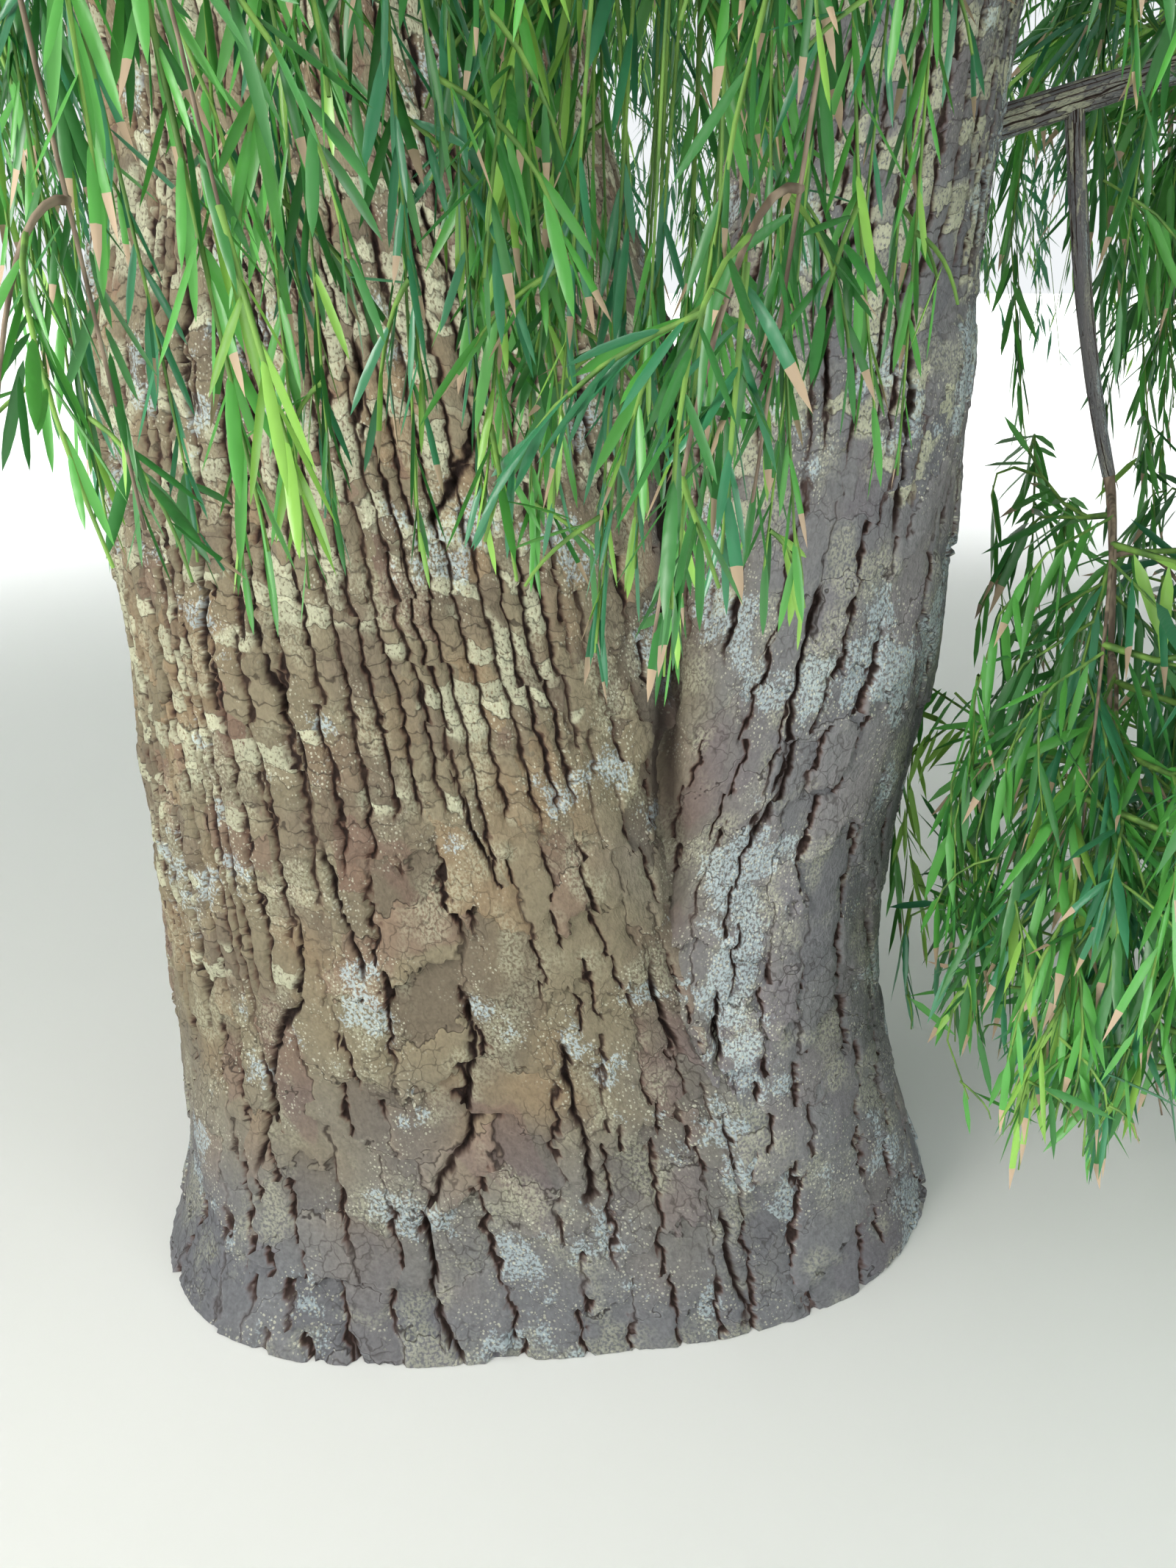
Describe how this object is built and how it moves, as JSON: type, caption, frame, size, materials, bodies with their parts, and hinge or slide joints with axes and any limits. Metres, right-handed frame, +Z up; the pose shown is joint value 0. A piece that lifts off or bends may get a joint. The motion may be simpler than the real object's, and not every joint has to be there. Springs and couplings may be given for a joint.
{
  "type": "african fern pine tree",
  "caption": "Tall evergreen tree with a thick double trunk fused at its foot, arching boughs and weeping masses of narrow leaves, cut flat at ground level.",
  "frame": {"origin": "on the flat cut at ground level, at the middle of the trunk's foot", "axes": "+Z up, -Y toward the picture's viewpoint, +X to its right, on the thinner stem's side"},
  "size_m": [11.5321, 11.192, 13.6531],
  "materials": {
    "bark": "rough flaky bark",
    "leaves": "satin leaf"
  },
  "bodies": {
    "root": {"trunk": "bark", "stem_left": "bark", "stem_right": "bark", "leader_back": "bark", "bough_lower_1": "bark", "bough_lower_2": "bark", "bough_lower_3": "bark", "bough_lower_4": "bark", "bough_lower_5": "bark", "bough_lower_6": "bark", "bough_lower_7": "bark", "bough_lower_8": "bark", "bough_middle_1": "bark", "bough_middle_2": "bark", "bough_middle_3": "bark", "bough_middle_4": "bark", "bough_middle_5": "bark", "bough_middle_6": "bark", "bough_middle_7": "bark", "bough_upper_1": "bark", "bough_upper_2": "bark", "bough_upper_3": "bark", "bough_upper_4": "bark", "bough_upper_5": "bark", "bough_front_left": "bark", "bough_front_right": "bark", "bough_low_right": "bark", "bough_drop_right": "bark", "foliage_lower_1": "leaves", "foliage_lower_2": "leaves", "foliage_lower_3": "leaves", "foliage_lower_4": "leaves", "foliage_lower_5": "leaves", "foliage_lower_6": "leaves", "foliage_lower_7": "leaves", "foliage_lower_8": "leaves", "foliage_middle_1": "leaves", "foliage_middle_2": "leaves", "foliage_middle_3": "leaves", "foliage_middle_4": "leaves", "foliage_middle_5": "leaves", "foliage_middle_6": "leaves", "foliage_middle_7": "leaves", "foliage_upper_1": "leaves", "foliage_upper_2": "leaves", "foliage_upper_3": "leaves", "foliage_upper_4": "leaves", "foliage_upper_5": "leaves", "foliage_front_left": "leaves", "foliage_front_right": "leaves", "foliage_low_right": "leaves", "foliage_drop_right": "leaves", "foliage_top_left": "leaves", "foliage_top_right": "leaves", "foliage_top_back": "leaves"}
  },
  "joints": []
}
